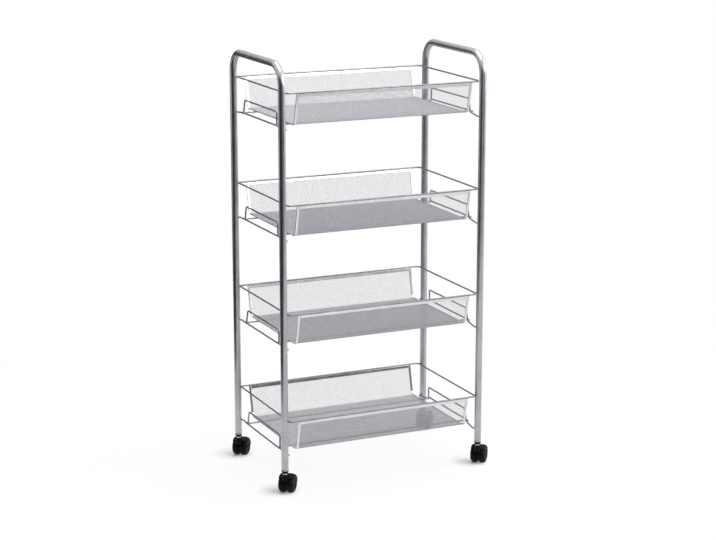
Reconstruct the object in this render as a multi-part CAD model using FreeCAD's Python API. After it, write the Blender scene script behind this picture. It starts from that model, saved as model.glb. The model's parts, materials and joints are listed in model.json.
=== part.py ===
"""Mesh rolling cart: two bent tube side frames, four wire and mesh baskets, four twin-wheel casters.

Millimetres. +Z is up, +X runs along the baskets, -Y is the front. The origin is on the floor, midway
between the posts.
"""
import FreeCAD, Part
import os
from math import atan2, cos, degrees, hypot, pi, sin, tan

Vector = FreeCAD.Vector

# Side frames
post_spacing_x = 426.0        # between the post axes, left to right
post_spacing_y = 250.0        # between the post axes, front to rear
tube_d = 14.0
tube_wall = 1.2
handle_rise = 52.0            # the push handle's axis stands this far above the top rim
handle_bend_r = 40.0

# Basket levels
tier_names = ("bottom", "lower", "upper", "top")
lowest_rim_z = 149.0          # axis of the bottom basket's rim wire
tier_pitch = 214.0            # from one rim to the next

# Basket wires
wire_d = 3.3
rim_clearance = 0.35          # between the rim wire and the posts' inner faces
rim_overhang = 7.5            # the rim's front and rear runs lie this far outside the post axes
rim_corner_r = 6.0
peg_d = 2.9                   # the rim's pegs, thinner than its wire
hook_hole_clearance = 0.4     # round a hook in its post hole, on the radius
hook_reach = 3.0              # how far a hook stands inside the tube's wall
guard_drop = 40.5             # rim axis down to a guard's top bar
hook_drop = 70.0              # rim axis down to the lower hooks
guard_inset = 6.0             # post axis in to a guard's feet
guard_lean_x = 1.6            # a guard's top bar lies further in than its feet
guard_leg_inset = 39.0        # post axis along Y to a guard's feet
guard_lean_y = 3.5            # a guard's top corners lie nearer the middle than its feet
guard_bend_r = 5.0
guard_foot_depth = 2.0        # a guard's feet bend this far below its lower bar
hook_knee_inset = 10.0        # post axis in to the knee where a lower hook turns into its hole
weld_bite = 0.3               # how deep welded wires sink into each other
rod_side_gap = 0.6            # between a floor rod and the guard leg beside it

# Mesh trays
tray_depth = 62.5             # rim axis down to the middle of the floor sheet
tray_end_inset = 27.0         # post axis in to the tray's end edges
fold_inset = 14.5             # rim run in to the fold line
fold_r = 9.0
sheet_t = 0.8
hem_t = 2.0
end_hem_w = 5.0
top_hem_h = 7.5
mesh_bar = 3.0                # metal between two gaps, drawn coarser than the real 3 mm mesh
wall_gap_pitch_x = 18.0
wall_gap_pitch_z = 11.0       # along the wall's slope
floor_gap_pitch_x = 26.0
floor_gap_pitch_y = 20.0

# Casters
wheel_d = 36.0
wheel_w = 12.5
wheel_round = 7.0             # round on a wheel's outer shoulder
wheel_inner_round = 1.5
wheel_dish_r = 9.5
wheel_dish_depth = 1.5
web_w = 5.5                   # the housing's middle web, between the wheels
wheel_side_gap = 0.5
caster_trail = 15.0           # stem axis back to the axle
caster_rest_turn = -41.0      # how the casters stand in the photograph, turned about their stems
hood_clearance = 0.8
hood_wall = 1.7
hood_inset = 1.0              # the hood is this much narrower than the wheels on each side
hood_edge_w = 6.0             # the hood's sides slope down to their edges
hood_edge_drop = 2.0
hood_start_angle = 0.0        # degrees round the axle, from straight back over the top
hood_end_angle = 132.0
hub_r = 14.5                  # the web is a disc down to 3.5 mm above the floor
boss_d = 12.0
boss_rise = 3.5               # the stem boss stands above the hood
boss_depth = 14.0
axle_d = 4.0
axle_end_gap = 0.2
wheel_cap = 1.8               # outer wall that closes a wheel's bore
stem_d = 6.0
stem_press_depth = 12.0       # stem in the housing
stem_end_gap = 1.0
collar_d = 9.0
collar_h = 2.2
swivel_gap = 0.3
running_clearance = 0.05      # on the radius, for turning fits
press_clearance = 0.02        # on the radius, for pieces pushed home
socket_flange_h = 5.5
socket_lip = 0.4              # the flange stands out this much from the tube
socket_tip_d = 10.0
socket_depth = 24.0
socket_end_wall = 2.0

# Worked out from the sizes above
post_x, post_y = post_spacing_x / 2, post_spacing_y / 2
tube_r, wire_r, wheel_r = tube_d / 2, wire_d / 2, wheel_d / 2
rim_x = post_x - tube_r - rim_clearance - wire_r
rim_y = post_y + rim_overhang
tray_end = post_x - tray_end_inset
mesh_end = tray_end - end_hem_w
handle_z = lowest_rim_z + (len(tier_names) - 1) * tier_pitch + handle_rise
rod_drop = tray_depth + hem_t / 2 + wire_r
guard_foot_x = post_x - guard_inset
guard_foot_y = post_y - guard_leg_inset
lower_bar_x = guard_foot_x + wire_d - weld_bite
hook_tip_x = post_x - tube_r + tube_wall + hook_reach
hood_inner_r = wheel_r + hood_clearance
hood_r = hood_inner_r + hood_wall
wheel_inner_x = web_w / 2 + wheel_side_gap
wheel_outer_x = wheel_inner_x + wheel_w
housing_top = wheel_r + hood_r + boss_rise
tube_end_z = housing_top + collar_h + swivel_gap + socket_flange_h


def bent_path(points, radii):
    """Straight runs through the points, with a tangent arc at each inner point, one radius for each."""
    edges = []
    start = points[0]
    for before, corner, after, radius in zip(points, points[1:], points[2:], radii):
        back = (before - corner).normalize()
        onward = (after - corner).normalize()
        half_angle = back.getAngle(onward) / 2
        middle_way = (back + onward).normalize()
        arc_start = corner + back * (radius / tan(half_angle))
        arc_end = corner + onward * (radius / tan(half_angle))
        arc_middle = corner + middle_way * (radius / sin(half_angle) - radius)
        edges.append(Part.LineSegment(start, arc_start).toShape())
        edges.append(Part.Arc(arc_start, arc_middle, arc_end).toShape())
        start = arc_end
    edges.append(Part.LineSegment(start, points[-1]).toShape())
    return Part.Wire(edges)


def path_start(path):
    """A path's first point and the direction it sets out in."""
    first = path.OrderedEdges[0]
    return first.valueAt(first.FirstParameter), first.tangentAt(first.FirstParameter)


def sweep_round(path, radius):
    """A solid round bar along a path."""
    start, along = path_start(path)
    section = Part.Wire(Part.makeCircle(radius, start, along))
    return path.makePipeShell([section], True, False)


def sweep_strip(path, x_from, x_to, thickness):
    """A flat strip along a path that lies in a plane across X, centred on the path."""
    start, along = path_start(path)
    across = along.cross(Vector(1, 0, 0)) * (thickness / 2)
    near, far = start + Vector(x_from, 0, 0), start + Vector(x_to, 0, 0)
    corners = [near - across, far - across, far + across, near + across]
    return path.makePipeShell([Part.makePolygon(corners + corners[:1])], True, False)


def round_bar(radius, start, end):
    """A plain cylinder from one point to another."""
    return Part.makeCylinder(radius, (end - start).Length, start, end - start)


def side_frame(side):
    """One tube bent into an upside-down U, with a hole for every basket hook in its posts' inner faces."""
    x = side * post_x
    points = [Vector(x, -post_y, tube_end_z), Vector(x, -post_y, handle_z),
              Vector(x, post_y, handle_z), Vector(x, post_y, tube_end_z)]
    path = bent_path(points, [handle_bend_r] * 2)
    tube = sweep_round(path, tube_r).cut(sweep_round(path, tube_r - tube_wall))
    inner_x = side * (post_x - tube_r - tube_wall)
    holes = []
    for tier in range(len(tier_names)):
        rim_z = lowest_rim_z + tier * tier_pitch
        for y in (-post_y, post_y):
            for z in (rim_z, rim_z - hook_drop):
                holes.append(round_bar(wire_r + hook_hole_clearance, Vector(inner_x, y, z), Vector(x, y, z)))
    return [tube.cut(Part.makeCompound(holes))]


def rim_wire(rim_z):
    """The basket's closed rim loop, with four pegs that hook into the posts."""
    front_middle = Vector(0, -rim_y, rim_z)
    corners = [Vector(rim_x, -rim_y, rim_z), Vector(rim_x, rim_y, rim_z),
               Vector(-rim_x, rim_y, rim_z), Vector(-rim_x, -rim_y, rim_z)]
    path = bent_path([front_middle] + corners + [front_middle], [rim_corner_r] * 4)
    pegs = [round_bar(peg_d / 2, Vector(side * rim_x, y, rim_z), Vector(side * hook_tip_x, y, rim_z))
            for side in (-1, 1) for y in (-post_y, post_y)]
    return [sweep_round(path, wire_r).fuse(pegs)]


def end_guard(side, rim_z):
    """A hat-shaped wire across one end, hooked into the posts, with a bar welded outside its legs."""
    top_x, top_y = guard_foot_x - guard_lean_x, guard_foot_y - guard_lean_y
    rear_half = [Vector(side * hook_tip_x, post_y, rim_z - hook_drop),
                 Vector(side * (post_x - hook_knee_inset), post_y, rim_z - hook_drop),
                 Vector(side * guard_foot_x, guard_foot_y, rim_z - rod_drop - guard_foot_depth),
                 Vector(side * top_x, top_y, rim_z - guard_drop)]
    front_half = [Vector(point.x, -point.y, point.z) for point in reversed(rear_half)]
    path = bent_path(rear_half + front_half, [wire_d] + [guard_bend_r] * 4 + [wire_d])
    bar_x, bar_z = side * lower_bar_x, rim_z - rod_drop
    bar_y = guard_foot_y + wire_d
    bar = round_bar(wire_r, Vector(bar_x, -bar_y, bar_z), Vector(bar_x, bar_y, bar_z))
    return [sweep_round(path, wire_r).fuse(bar)]


def floor_rods(rim_z):
    """Two straight wires under the mesh floor, from one lower bar to the other."""
    end_x = lower_bar_x - wire_r - press_clearance
    y = guard_foot_y - wire_d - rod_side_gap
    z = rim_z - rod_drop
    return [round_bar(wire_r, Vector(-end_x, row, z), Vector(end_x, row, z)) for row in (-y, y)]


def holed_sheet(length, width, pitch_x, pitch_y):
    """A flat sheet in the XY plane, centred on the origin, with staggered diamond gaps in one holed face."""
    columns, rows = int(length / pitch_x), int(width / pitch_y)
    edge_distance = pitch_x * pitch_y / 2 / hypot(pitch_x, pitch_y)
    shrink = 1 - mesh_bar / 2 / edge_distance
    reach_x, reach_y = shrink * pitch_x / 2, shrink * pitch_y / 2
    gaps = []
    for columns_here, rows_here in ((columns, rows), (columns - 1, rows - 1)):
        for column in range(columns_here):
            for row in range(rows_here):
                x = (column - (columns_here - 1) / 2) * pitch_x
                y = (row - (rows_here - 1) / 2) * pitch_y
                gaps.append([Vector(x - reach_x, y, 0), Vector(x, y - reach_y, 0),
                             Vector(x + reach_x, y, 0), Vector(x, y + reach_y, 0)])
    outline = [Vector(-length / 2, -width / 2, 0), Vector(length / 2, -width / 2, 0),
               Vector(length / 2, width / 2, 0), Vector(-length / 2, width / 2, 0)]
    face = Part.Face([Part.makePolygon(ring + ring[:1]) for ring in [outline] + gaps])
    sheet = face.extrude(Vector(0, 0, sheet_t))
    sheet.translate(Vector(0, 0, -sheet_t / 2))
    return sheet


class TraySection:
    """Where one basket's bent sheet runs, seen along X: down the front, round two folds and up the rear."""

    def __init__(self, rim_z):
        self.rim_z = rim_z
        self.fold_y = rim_y - fold_inset
        self.floor_z = rim_z - tray_depth
        self.slope = hypot(fold_inset, tray_depth)
        self.up_y, self.up_z = fold_inset / self.slope, tray_depth / self.slope
        lean = atan2(fold_inset, tray_depth)
        self.fold_setback = fold_r / tan((pi / 2 + lean) / 2)
        self.floor_half = self.fold_y - self.fold_setback

    def wall_point(self, end, height):
        """A point on the front (-1) or rear (1) wall, at a height along its slope above the fold line."""
        return Vector(0, end * (self.fold_y + height * self.up_y), self.floor_z + height * self.up_z)

    def hem_top(self):
        """Slope height of the hems' upper edge, just under the rim wire."""
        return self.slope - wire_r

    def mesh_top(self):
        """Slope height where the wall's mesh meets the top hem."""
        return self.hem_top() - top_hem_h


def floor_mesh(section):
    """The flat mesh floor between the folds and the end hems."""
    sheet = holed_sheet(2 * mesh_end, 2 * section.floor_half, floor_gap_pitch_x, floor_gap_pitch_y)
    sheet.translate(Vector(0, 0, section.floor_z))
    return [sheet]


def wall_mesh(section, end):
    """One sloping mesh wall with the curved fold at its foot."""
    foot, top = section.wall_point(end, section.fold_setback), section.wall_point(end, section.mesh_top())
    sheet = holed_sheet(2 * mesh_end, (top - foot).Length, wall_gap_pitch_x, wall_gap_pitch_z)
    sheet.rotate(Vector(0, 0, 0), Vector(1, 0, 0), degrees(atan2(top.z - foot.z, top.y - foot.y)))
    sheet.translate((foot + top) / 2)
    floor_edge = Vector(0, end * section.floor_half, section.floor_z)
    centre = floor_edge + Vector(0, 0, fold_r)
    middle_way = ((floor_edge - centre) + (foot - centre)).normalize()
    fold = Part.Wire(Part.Arc(floor_edge, centre + middle_way * fold_r, foot).toShape())
    return [sheet.fuse(sweep_strip(fold, -mesh_end, mesh_end, sheet_t))]


def edge_hem(section):
    """Folded strips round the sheet: one down each open end, and one under the rim at the front and rear."""
    hem_top, mesh_top = section.hem_top(), section.mesh_top()
    points = [section.wall_point(-1, hem_top), section.wall_point(-1, 0),
              section.wall_point(1, 0), section.wall_point(1, hem_top)]
    path = bent_path(points, [fold_r] * 2)
    ends = [sweep_strip(path, -tray_end, -mesh_end, hem_t), sweep_strip(path, mesh_end, tray_end, hem_t)]
    tops = []
    for end in (-1, 1):
        line = Part.LineSegment(section.wall_point(end, mesh_top), section.wall_point(end, hem_top))
        tops.append(sweep_strip(Part.Wire(line.toShape()), -mesh_end, mesh_end, hem_t))
    return ends + tops


def x_cylinder(radius, x_from, x_to):
    """A cylinder along X, round a caster's axle."""
    return Part.makeCylinder(radius, x_to - x_from, Vector(x_from, caster_trail, wheel_r), Vector(1, 0, 0))


def spun(outline, start_angle=0.0, turn=360.0):
    """A solid spun round a caster's axle from (x, radius) points, from straight back over the top."""
    points = [Vector(x, caster_trail + radius, wheel_r) for x, radius in outline]
    face = Part.Face(Part.makePolygon(points + points[:1]))
    centre, axis = Vector(0, caster_trail, wheel_r), Vector(1, 0, 0)
    face.rotate(centre, axis, start_angle)
    return face.revolve(centre, axis, turn)


def caster_housing():
    """Hood over both wheels, middle web, axle hub and stem boss, in one moulding."""
    hood_x = wheel_outer_x - hood_inset
    web_x = web_w / 2
    half = [(hood_x - hood_edge_w, hood_r), (hood_x, hood_r - hood_edge_drop), (hood_x, hood_inner_r - hood_edge_drop),
            (hood_x - hood_edge_w, hood_inner_r), (web_x, hood_inner_r), (web_x, 0)]
    outline = half + [(-x, radius) for x, radius in reversed(half)]
    hood = spun(outline, hood_start_angle, hood_end_angle - hood_start_angle)
    hub = x_cylinder(hub_r, -web_x, web_x)
    boss = Part.makeCylinder(boss_d / 2, boss_depth, Vector(0, 0, housing_top - boss_depth))
    wheel_room = [x_cylinder(hood_inner_r, web_x, boss_d), x_cylinder(hood_inner_r, -boss_d, -web_x)]
    stem_hole = Part.makeCylinder(stem_d / 2 + press_clearance, stem_press_depth,
                                  Vector(0, 0, housing_top - stem_press_depth))
    axle_hole = x_cylinder(axle_d / 2 + press_clearance, -web_w, web_w)
    return hood.fuse([hub, boss.cut(wheel_room)]).cut([stem_hole, axle_hole])


def caster_wheel():
    """One wheel with a rounded outer shoulder, a dished outer face and a blind bore, on the +X side."""
    bore_r = axle_d / 2 + running_clearance
    bore_end = wheel_outer_x - wheel_cap
    dish_x = wheel_outer_x - wheel_dish_depth
    outline = [(wheel_inner_x, bore_r), (wheel_inner_x, wheel_r), (wheel_outer_x, wheel_r),
               (wheel_outer_x, wheel_dish_r), (dish_x, wheel_dish_r - wheel_dish_depth), (dish_x, 0),
               (bore_end, 0), (bore_end, bore_r)]
    wheel = spun(outline)
    for x, round_r in ((wheel_inner_x, wheel_inner_round), (wheel_outer_x, wheel_round)):
        shoulder = [edge for edge in wheel.Edges if abs(edge.BoundBox.XMin - x) + abs(edge.BoundBox.XMax - x)
                    + abs(edge.BoundBox.ZLength - wheel_d) < 0.01]
        wheel = wheel.makeFillet(round_r, shoulder)
    return wheel


def caster_stem():
    """The steel stem with its collar, pressed into the housing and turning in the socket."""
    foot = housing_top - stem_press_depth
    top = tube_end_z + socket_depth - socket_end_wall - stem_end_gap
    stem = Part.makeCylinder(stem_d / 2, top - foot, Vector(0, 0, foot))
    return stem.fuse(Part.makeCylinder(collar_d / 2, collar_h, Vector(0, 0, housing_top)))


def caster_socket():
    """The plastic socket in the tube's end, with a tapered flange below it and a blind bore for the stem."""
    tip = Vector(0, 0, tube_end_z - socket_flange_h)
    plug = Part.makeCylinder(tube_r - tube_wall - press_clearance, socket_depth, Vector(0, 0, tube_end_z))
    flange = Part.makeCone(socket_tip_d / 2, tube_r + socket_lip, socket_flange_h, tip)
    bore_depth = socket_flange_h + socket_depth - socket_end_wall
    bore = Part.makeCylinder(stem_d / 2 + running_clearance, bore_depth, tip)
    return plug.fuse(flange).cut(bore)


def caster_pieces():
    """A caster's pieces on a stem axis at the origin, trailing straight back."""
    wheel = caster_wheel()
    axle_reach = wheel_outer_x - wheel_cap - axle_end_gap
    return {"socket": caster_socket(), "stem": caster_stem(), "housing": caster_housing(),
            "axle": x_cylinder(axle_d / 2, -axle_reach, axle_reach),
            "right_wheel": wheel, "left_wheel": wheel.mirror(Vector(0, 0, 0), Vector(1, 0, 0))}


def build():
    """Every named node of the cart, each a list of solids."""
    nodes = {"left_frame": side_frame(-1), "right_frame": side_frame(1)}
    for tier, name in enumerate(tier_names):
        rim_z = lowest_rim_z + tier * tier_pitch
        section = TraySection(rim_z)
        nodes[f"{name}_rim_wire"] = rim_wire(rim_z)
        nodes[f"{name}_floor_mesh"] = floor_mesh(section)
        nodes[f"{name}_front_mesh"] = wall_mesh(section, -1)
        nodes[f"{name}_rear_mesh"] = wall_mesh(section, 1)
        nodes[f"{name}_edge_hem"] = edge_hem(section)
        nodes[f"{name}_left_guard"] = end_guard(-1, rim_z)
        nodes[f"{name}_right_guard"] = end_guard(1, rim_z)
        nodes[f"{name}_floor_rods"] = floor_rods(rim_z)
    turned = FreeCAD.Rotation(Vector(0, 0, 1), caster_rest_turn)
    for side, side_name in ((-1, "left"), (1, "right")):
        for end, end_name in ((-1, "front"), (1, "rear")):
            place = FreeCAD.Placement(Vector(side * post_x, end * post_y, 0), turned)
            for piece, shape in caster_pieces().items():
                nodes[f"{side_name}_{end_name}_caster_{piece}"] = [shape.transformed(place.toMatrix())]
    return nodes


os.makedirs("parts", exist_ok=True)
for node, solids in build().items():
    Part.makeCompound(solids).exportStep(f"parts/{node}.step")
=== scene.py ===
# %% [markdown]
# # Mesh rolling cart
# A storage cart for an office or a kitchen. Two steel tubes, each bent into an upside-down U, carry
# four baskets of wire and mesh, and the cart rolls on four twin-wheel casters. An engineering model
# with the real sizes is loaded first, as a fixed frame. Every piece below is modelled around that
# frame, in metres, and stands where the plain solid that it replaces stands.

# %% Load the fixed frame
import json
import math
import bmesh
import bpy
from mathutils import Matrix, Vector


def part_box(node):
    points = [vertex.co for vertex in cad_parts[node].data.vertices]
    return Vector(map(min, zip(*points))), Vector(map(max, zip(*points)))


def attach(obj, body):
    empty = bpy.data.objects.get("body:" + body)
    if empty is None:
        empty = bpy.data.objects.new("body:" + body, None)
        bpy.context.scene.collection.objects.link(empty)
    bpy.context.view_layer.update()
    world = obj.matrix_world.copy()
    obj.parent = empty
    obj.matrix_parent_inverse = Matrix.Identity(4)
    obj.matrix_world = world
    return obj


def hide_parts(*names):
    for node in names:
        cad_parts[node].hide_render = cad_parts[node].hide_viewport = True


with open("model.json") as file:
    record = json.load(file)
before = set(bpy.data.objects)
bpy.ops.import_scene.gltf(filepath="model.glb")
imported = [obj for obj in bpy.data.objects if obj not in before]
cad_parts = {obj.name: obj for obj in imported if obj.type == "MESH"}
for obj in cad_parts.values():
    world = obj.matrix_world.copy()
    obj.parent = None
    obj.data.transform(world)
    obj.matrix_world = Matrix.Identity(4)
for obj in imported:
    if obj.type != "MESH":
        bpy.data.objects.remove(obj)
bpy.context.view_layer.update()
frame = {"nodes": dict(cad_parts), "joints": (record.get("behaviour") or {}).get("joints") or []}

# %% [markdown]
# ## Sizes
# The frame already knows where everything is, so the main sizes are read from it: a tube's radius is
# half the width of its box, and the posts stand where the casters swivel. Only what a box can't tell,
# such as the radius of a bend, is written down as a value of its own, in millimetres, where it is first
# needed. Typed in as numbers, the main sizes would not follow the frame when it changes.

# %% Read the posts and their tube
mm = 0.001
joint_at = {joint["name"]: Vector(joint["pos_m"]) for joint in frame["joints"]}
post_x = joint_at["right_rear_swivel"].x
post_y = joint_at["right_rear_swivel"].y
frame_low, frame_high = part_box("right_frame")
tube_r = (frame_high.x - frame_low.x) / 2
tube_end_z = frame_low.z
handle_z = frame_high.z - tube_r
print("posts", round(2 * post_x / mm), "by", round(2 * post_y / mm), "mm apart")
print("tube radius", round(tube_r / mm, 2), "mm")

# %% Read the wire and the four levels
tiers = ("bottom", "lower", "upper", "top")
rim_low, rim_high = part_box("bottom_rim_wire")
wire_r = (rim_high.z - rim_low.z) / 2
rim_y = rim_high.y - wire_r
rim_z = rim_low.z + wire_r
hook_tip_x = rim_high.x
tier_lift = {tier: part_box(f"{tier}_rim_wire")[0].z - rim_low.z for tier in tiers}
print("wire radius", round(wire_r / mm, 2), "mm")
print("levels", [round(lift / mm) for lift in tier_lift.values()], "mm above the lowest")

# %% [markdown]
# ## Bending bars
# Tube and wire are shaped on a bender: the bar is pushed straight, then turned round a former, then
# pushed again. The same two moves make a good model. A circle is extruded along each straight run and
# spun round the former's centre at each corner, so every bend is a true arc. A curve with a bevel would
# be quicker, but its corners swell and pinch where a bend is tight.

# %% Open a new shape for work
def clear_selection():
    """Leaves edit mode, and selects nothing."""
    if bpy.context.object and bpy.context.object.mode != "OBJECT":
        bpy.ops.object.mode_set(mode="OBJECT")
    bpy.ops.object.select_all(action="DESELECT")


def start_shaping():
    """Puts a primitive's place, turn and size into its mesh, and opens it in edit mode, all selected."""
    bpy.ops.object.transform_apply()
    bpy.ops.object.mode_set(mode="EDIT")
    bpy.ops.mesh.select_all(action="SELECT")


# %% Push and bend an outline
def push(step):
    """Extrudes what is selected in edit mode."""
    bpy.ops.mesh.extrude_region_move(TRANSFORM_OT_translate={"value": step})


def push_and_bend(points, bend_radii, bend_steps):
    """Carries the selected outline along straight runs, and round a former at each corner between."""
    here = points[0]
    heading = (points[1] - here).normalized()
    for corner, after, bend_r in zip(points[1:], points[2:], bend_radii):
        onward = (after - corner).normalized()
        turn = heading.angle(onward)
        setback = bend_r * math.tan(turn / 2)
        push(corner - heading * setback - here)
        former = corner + (onward - heading).normalized() * (bend_r / math.cos(turn / 2))
        bpy.ops.mesh.spin(steps=bend_steps, angle=-turn, center=former, axis=heading.cross(onward))
        here = corner + onward * setback
        heading = onward
    push(points[-1] - here)


# %% Finish a shape
merge_gap = 0.01 * mm
soft_crease = 40


def shade_soft(crease=soft_crease):
    """Shades the selected piece smooth over edges flatter than the crease, in degrees."""
    bpy.ops.object.shade_smooth_by_angle(angle=math.radians(crease))


def finish_shape(name, crease=soft_crease):
    """Merges doubled points, turns faces outwards, shades the piece and names it."""
    part = bpy.context.object
    bpy.ops.object.mode_set(mode="EDIT")
    bpy.ops.mesh.select_all(action="SELECT")
    bpy.ops.mesh.remove_doubles(threshold=merge_gap)
    bpy.ops.mesh.normals_make_consistent(inside=False)
    bpy.ops.object.mode_set(mode="OBJECT")
    shade_soft(crease)
    part.name = name
    part.data.name = name
    return part


# %% Make a round bar, and weld bars together
wire_sides = 18
wire_bend_steps = 8


def round_bar(name, points, bend_radii, radius, ends="NGON"):
    """A round bar through the points, with a bend of its own radius at each corner."""
    clear_selection()
    facing = (points[1] - points[0]).to_track_quat("Z", "Y").to_euler()
    bpy.ops.mesh.primitive_circle_add(vertices=wire_sides, radius=radius, fill_type=ends,
                                      location=points[0], rotation=facing)
    start_shaping()
    push_and_bend(points, bend_radii, wire_bend_steps)
    return finish_shape(name)


def join_parts(parts, name):
    """One piece out of several that are welded together."""
    clear_selection()
    for part in parts:
        part.select_set(True)
    bpy.context.view_layer.objects.active = parts[0]
    bpy.ops.object.join()
    parts[0].name = name
    parts[0].data.name = name
    return parts[0]


# %% Apply modifiers
def apply_modifier(part, kind, **settings):
    """Adds a modifier to a part and makes its result the part's own mesh."""
    clear_selection()
    part.select_set(True)
    bpy.context.view_layer.objects.active = part
    modifier = part.modifiers.new(kind.lower(), kind)
    for name, value in settings.items():
        setattr(modifier, name, value)
    bpy.ops.object.modifier_apply(modifier=modifier.name)


def combine(part, tool, operation):
    """Cuts a tool out of a part (DIFFERENCE) or unites it with the part (UNION), and removes the tool."""
    apply_modifier(part, "BOOLEAN", object=tool, operation=operation, solver="EXACT")
    bpy.data.objects.remove(tool)


# %% [markdown]
# ## Side frames
# Each side of the cart is one steel tube: two posts and the push handle between them. Near its lower
# end a shallow groove is rolled into it, which grips the caster's socket, and each post has a hole in
# its inner face for every basket hook. Front and rear halves are alike, so only the front half is bent
# and the Mirror modifier makes the rest. Solidify gives the tube its wall, and a Boolean drills the
# holes. Dark spots painted on the tube would need fewer faces, but would look flat from close by.

# %% Bend a tube
handle_bend_r = 40 * mm
handle_bend_steps = 20
tube_wall = 1.2 * mm
tube_sides = 48
tube_crease = 60
groove_height = 2.8 * mm
groove_width = 0.6 * mm
groove_depth = 0.2 * mm
print("tube wall", round(tube_wall / mm, 1), "mm, handle bends", round(handle_bend_r / mm), "mm")


def bent_tube(name, x):
    """The tube of one side: a groove at its foot, the post, the bend and half the handle, mirrored."""
    clear_selection()
    foot = Vector((x, -post_y, tube_end_z))
    bpy.ops.mesh.primitive_circle_add(vertices=tube_sides, radius=tube_r, fill_type="NOTHING",
                                      location=foot)
    start_shaping()
    push((0, 0, groove_height))
    squeeze = 1 - groove_depth / tube_r
    groove_scales = (squeeze, 1, 1 / squeeze)
    for scale in groove_scales:
        push((0, 0, groove_width))
        bpy.ops.transform.resize(value=(scale, scale, 1), center_override=foot)
    above_groove = foot + Vector((0, 0, groove_height + len(groove_scales) * groove_width))
    handle_corner = Vector((x, -post_y, handle_z))
    handle_middle = Vector((x, 0, handle_z))
    push_and_bend([above_groove, handle_corner, handle_middle], [handle_bend_r], handle_bend_steps)
    tube = finish_shape(name, crease=tube_crease)
    apply_modifier(tube, "MIRROR", use_axis=(False, True, False), merge_threshold=merge_gap)
    apply_modifier(tube, "SOLIDIFY", thickness=tube_wall, offset=-1, use_rim=True)
    return tube


# %% Drill the hook holes
hook_drop = 70 * mm
hook_clearance = 0.4 * mm
hook_hole_r = wire_r + hook_clearance
print("hook holes", round(2 * hook_hole_r / mm, 1), "mm wide")


def drill_hook_holes(tube, side):
    """Drills the inner faces of a tube's two posts for the pegs and hooks of all four baskets."""
    x = side * post_x
    drills = []
    for lift in tier_lift.values():
        for y in (-post_y, post_y):
            for z in (rim_z + lift, rim_z + lift - hook_drop):
                inner = Vector((x - side * (tube_r + tube_wall), y, z))
                drills.append(round_bar("drill", [inner, Vector((x, y, z))], [], hook_hole_r))
    combine(tube, join_parts(drills, "drill"), "DIFFERENCE")
    shade_soft()


# %% Make both side frames
def tell(part):
    """Prints a piece's name and how many faces it has."""
    print(part.name, len(part.data.polygons), "faces")


tube_frames = []
for side, name, node in ((-1, "left_tube_frame", "left_frame"), (1, "right_tube_frame", "right_frame")):
    tube = bent_tube(name, side * post_x)
    drill_hook_holes(tube, side)
    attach(tube, "cart")
    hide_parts(node)
    tube_frames.append(tube)
    tell(tube)

# %% [markdown]
# ## Rim wire
# A basket hangs on drawn steel wire, a little over 3 mm thick. Its rim is a closed loop with four short
# pegs that hook into the posts. The loop is bent as the tube is, from the middle of its front round
# four corners and back to where it began, and merging the doubled points closes it. A flat ring cut
# from a sheet would be fewer steps, but would not be round in section. The pegs are straight bars that
# start inside the wire, as if welded to it. One basket is modelled at the lowest level and copied
# upwards later.

# %% Bend the rim
rim_clearance = 0.35 * mm
rim_x = post_x - tube_r - rim_clearance - wire_r
rim_corner_r = 6 * mm
peg_r = 1.45 * mm


def rim_wire():
    """The closed rim loop of the bottom basket, with its four pegs."""
    middle = Vector((0, -rim_y, rim_z))
    loop = ((rim_x, -rim_y), (rim_x, rim_y), (-rim_x, rim_y), (-rim_x, -rim_y))
    turns = [Vector((x, y, rim_z)) for x, y in loop]
    bends = [rim_corner_r] * len(turns)
    parts = [round_bar("rim", [middle, *turns, middle], bends, wire_r, ends="NOTHING")]
    for side in (-1, 1):
        for y in (-post_y, post_y):
            tips = [Vector((side * rim_x, y, rim_z)), Vector((side * hook_tip_x, y, rim_z))]
            parts.append(round_bar("peg", tips, [], peg_r))
    return join_parts(parts, "bottom_rim")


wire_parts = {"rim_wire": rim_wire()}
tell(wire_parts["rim_wire"])

# %% [markdown]
# ## End guards
# Across each end of a basket lies a guard, a wire bent like a hat. Its ends hook into the posts, and a
# straight bar is welded to the outside of its legs. The front half of the hat is like its rear half, so
# only the rear half's corner points are written down. A Mirror modifier could make the other half, but
# with the points mirrored instead, the whole wire is bent in one go and has no seam to merge.

# %% Find where the guards lie
guard_low, guard_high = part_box("bottom_right_guard")
hook_z = guard_low.z + wire_r
guard_top_z = guard_high.z - wire_r
lower_bar_x = guard_high.x - wire_r
rod_low, rod_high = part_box("bottom_floor_rods")
rod_z = rod_low.z + wire_r
guard_foot_x = post_x - 6 * mm
guard_foot_y = post_y - 39 * mm
guard_foot_depth = 2 * mm
guard_lean = Vector((1.6 * mm, 3.5 * mm))
print("guard from", round(hook_z / mm, 1), "to", round(guard_top_z / mm, 1), "mm high")

# %% Bend the guards
guard_bend_r = 5 * mm
hook_knee_inset = 10 * mm
hook_bend_r = 2 * wire_r
bar_end_round = 0.5 * mm


def round_edges(part, radius, segments, sharper_than):
    """Rounds a part's edges where they are sharper than an angle, in degrees."""
    apply_modifier(part, "BEVEL", width=radius, segments=segments, limit_method="ANGLE",
                   angle_limit=math.radians(sharper_than))


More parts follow.
